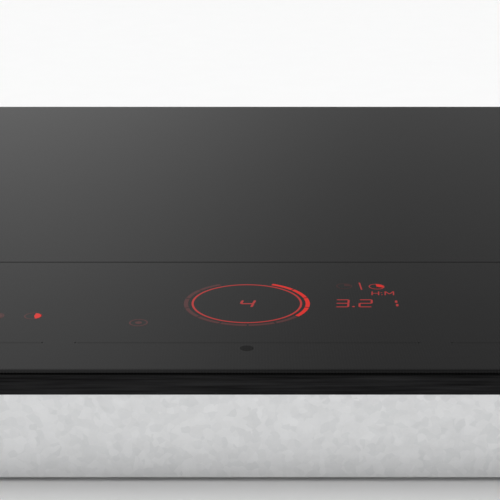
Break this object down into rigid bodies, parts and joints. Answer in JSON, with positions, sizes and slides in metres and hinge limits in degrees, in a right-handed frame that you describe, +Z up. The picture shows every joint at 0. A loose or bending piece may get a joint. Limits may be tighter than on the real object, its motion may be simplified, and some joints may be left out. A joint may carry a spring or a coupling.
{
  "type": "built-in induction hob",
  "caption": "Flat black glass-ceramic induction hob in a thin frame, over a sheet-steel housing with coils, blowers, a ring touch display and swing-out worktop clamps.",
  "frame": {"origin": "centre of the housing's footprint, at the bottom of its embossed feet", "axes": "+Z up through the glass, +X to the user's right, -Y towards the user at the control side"},
  "size_m": [0.592, 0.522, 0.0595],
  "materials": {
    "glass_ceramic": "gloss",
    "black_frame": "brushed",
    "galvanised_sheet": "satin",
    "spring_steel": "satin",
    "zinc_plate": "satin",
    "deck_aluminium": "satin",
    "heat_sink_aluminium": "satin",
    "litz_copper": "satin",
    "coil_former": "matte",
    "ferrite": "matte",
    "fibre_blanket": "matte",
    "sensor_ceramic": "satin",
    "circuit_board": "satin",
    "component_body": "matte",
    "black_plastic": "matte",
    "rotor_plastic": "satin",
    "light_guide": "gloss",
    "display_module": "gloss",
    "ribbon_tape": "satin",
    "seal_foam": "matte",
    "silicone": "satin",
    "terminal_plastic": "satin",
    "wire_insulation": "satin",
    "lead_sleeve": "satin",
    "motor_steel": "satin"
  },
  "bodies": {
    "hob": {"glass_plate": "glass_ceramic", "frame_front": "black_frame", "frame_rear": "black_frame", "frame_left": "black_frame", "frame_right": "black_frame", "frame_corner_keys": "zinc_plate", "glass_adhesive": "silicone", "worktop_seal": "seal_foam", "frame_brackets": "galvanised_sheet", "housing_tray": "galvanised_sheet", "housing_screws": "zinc_plate", "shield_plate": "deck_aluminium", "standoffs": "zinc_plate", "deck_springs": "spring_steel", "coil_leads": "lead_sleeve", "circuit_boards": "circuit_board", "power_components": "component_body", "heat_sinks": "heat_sink_aluminium", "air_ducts": "black_plastic", "fan_housings": "black_plastic", "fan_motors": "motor_steel", "ui_springs": "spring_steel", "ui_ribbon": "ribbon_tape", "terminal_box": "black_plastic", "terminal_block": "terminal_plastic", "lid_hinge_pin": "zinc_plate", "cable_gland": "black_plastic", "gland_nut": "black_plastic", "mains_wires": "wire_insulation"},
    "deck_left": {"coil_deck_left": "deck_aluminium", "coil_formers_left": "coil_former", "coil_windings_left": "litz_copper", "ferrite_bars_left": "ferrite", "coil_blankets_left": "fibre_blanket", "pan_sensors_left": "sensor_ceramic"},
    "fan_left": {"fan_rotor_left": "rotor_plastic"},
    "deck_right": {"coil_deck_right": "deck_aluminium", "coil_formers_right": "coil_former", "coil_windings_right": "litz_copper", "ferrite_bars_right": "ferrite", "coil_blankets_right": "fibre_blanket", "pan_sensors_right": "sensor_ceramic"},
    "fan_right": {"fan_rotor_right": "rotor_plastic"},
    "control_panel": {"ui_carrier": "black_plastic", "ui_board": "circuit_board", "ui_light_guides": "light_guide", "ui_displays": "display_module"},
    "terminal_cover": {"terminal_lid": "black_plastic"},
    "clamp_bolt_1": {"clamp_screw_1": "zinc_plate"},
    "clamp_slider_1": {"clamp_nut_1": "zinc_plate"},
    "clamp_jaw_1": {"clamp_arm_1": "galvanised_sheet"},
    "clamp_bolt_2": {"clamp_screw_2": "zinc_plate"},
    "clamp_slider_2": {"clamp_nut_2": "zinc_plate"},
    "clamp_jaw_2": {"clamp_arm_2": "galvanised_sheet"},
    "clamp_bolt_3": {"clamp_screw_3": "zinc_plate"},
    "clamp_slider_3": {"clamp_nut_3": "zinc_plate"},
    "clamp_jaw_3": {"clamp_arm_3": "galvanised_sheet"},
    "clamp_bolt_4": {"clamp_screw_4": "zinc_plate"},
    "clamp_slider_4": {"clamp_nut_4": "zinc_plate"},
    "clamp_jaw_4": {"clamp_arm_4": "galvanised_sheet"}
  },
  "joints": [
    {"name": "fan_left_spin", "type": "hinge", "parent": "hob", "child": "fan_left", "pos_m": [-0.075, 0.17, 0.0167], "axis": [0, 0, 1], "continuous": true},
    {"name": "fan_right_spin", "type": "hinge", "parent": "hob", "child": "fan_right", "pos_m": [0.075, 0.17, 0.0167], "axis": [0, 0, 1], "continuous": true},
    {"name": "deck_left_float", "type": "slide", "parent": "hob", "child": "deck_left", "axis": [0, 0, 1], "range_m": [-0.0025, 0], "stiffness_N_per_m": 10000, "springref_m": 0.004, "deforming": ["deck_springs", "coil_leads"]},
    {"name": "deck_right_float", "type": "slide", "parent": "hob", "child": "deck_right", "axis": [0, 0, 1], "range_m": [-0.0025, 0], "stiffness_N_per_m": 10000, "springref_m": 0.004, "deforming": ["deck_springs", "coil_leads"]},
    {"name": "control_panel_float", "type": "slide", "parent": "hob", "child": "control_panel", "axis": [0, 0, 1], "range_m": [-0.0015, 0], "stiffness_N_per_m": 2500, "springref_m": 0.002, "deforming": ["ui_springs", "ui_ribbon"]},
    {"name": "terminal_lid_hinge", "type": "hinge", "parent": "hob", "child": "terminal_cover", "pos_m": [-0.204, 0.2422, 0.0355], "axis": [1, 0, 0], "range_deg": [0, 100]},
    {"name": "clamp_screw_1_turn", "type": "hinge", "parent": "hob", "child": "clamp_bolt_1", "pos_m": [0.264, 0.228, 0.02], "axis": [0, 0, -1], "range_deg": [0, 4801]},
    {"name": "clamp_nut_1_climb", "type": "slide", "parent": "hob", "child": "clamp_slider_1", "axis": [0, 0, 1], "range_m": [0, 0.024]},
    {"name": "clamp_arm_1_swing", "type": "hinge", "parent": "clamp_slider_1", "child": "clamp_jaw_1", "pos_m": [0.264, 0.228, 0.0128], "axis": [0, 0, 1], "range_deg": [0, 90]},
    {"name": "clamp_screw_2_turn", "type": "hinge", "parent": "hob", "child": "clamp_bolt_2", "pos_m": [-0.264, 0.228, 0.02], "axis": [0, 0, -1], "range_deg": [0, 4801]},
    {"name": "clamp_nut_2_climb", "type": "slide", "parent": "hob", "child": "clamp_slider_2", "axis": [0, 0, 1], "range_m": [0, 0.024]},
    {"name": "clamp_arm_2_swing", "type": "hinge", "parent": "clamp_slider_2", "child": "clamp_jaw_2", "pos_m": [-0.264, 0.228, 0.0128], "axis": [0, 0, -1], "range_deg": [0, 90]},
    {"name": "clamp_screw_3_turn", "type": "hinge", "parent": "hob", "child": "clamp_bolt_3", "pos_m": [-0.264, -0.228, 0.02], "axis": [0, 0, -1], "range_deg": [0, 4801]},
    {"name": "clamp_nut_3_climb", "type": "slide", "parent": "hob", "child": "clamp_slider_3", "axis": [0, 0, 1], "range_m": [0, 0.024]},
    {"name": "clamp_arm_3_swing", "type": "hinge", "parent": "clamp_slider_3", "child": "clamp_jaw_3", "pos_m": [-0.264, -0.228, 0.0128], "axis": [0, 0, 1], "range_deg": [0, 90]},
    {"name": "clamp_screw_4_turn", "type": "hinge", "parent": "hob", "child": "clamp_bolt_4", "pos_m": [0.264, -0.228, 0.02], "axis": [0, 0, -1], "range_deg": [0, 4801]},
    {"name": "clamp_nut_4_climb", "type": "slide", "parent": "hob", "child": "clamp_slider_4", "axis": [0, 0, 1], "range_m": [0, 0.024]},
    {"name": "clamp_arm_4_swing", "type": "hinge", "parent": "clamp_slider_4", "child": "clamp_jaw_4", "pos_m": [0.264, -0.228, 0.0128], "axis": [0, 0, -1], "range_deg": [0, 90]}
  ],
  "couplings": [
    {"joint": "clamp_screw_1_turn", "follows": "clamp_nut_1_climb", "rad_per_m": 3490.7},
    {"joint": "clamp_screw_2_turn", "follows": "clamp_nut_2_climb", "rad_per_m": 3490.7},
    {"joint": "clamp_screw_3_turn", "follows": "clamp_nut_3_climb", "rad_per_m": 3490.7},
    {"joint": "clamp_screw_4_turn", "follows": "clamp_nut_4_climb", "rad_per_m": 3490.7}
  ]
}
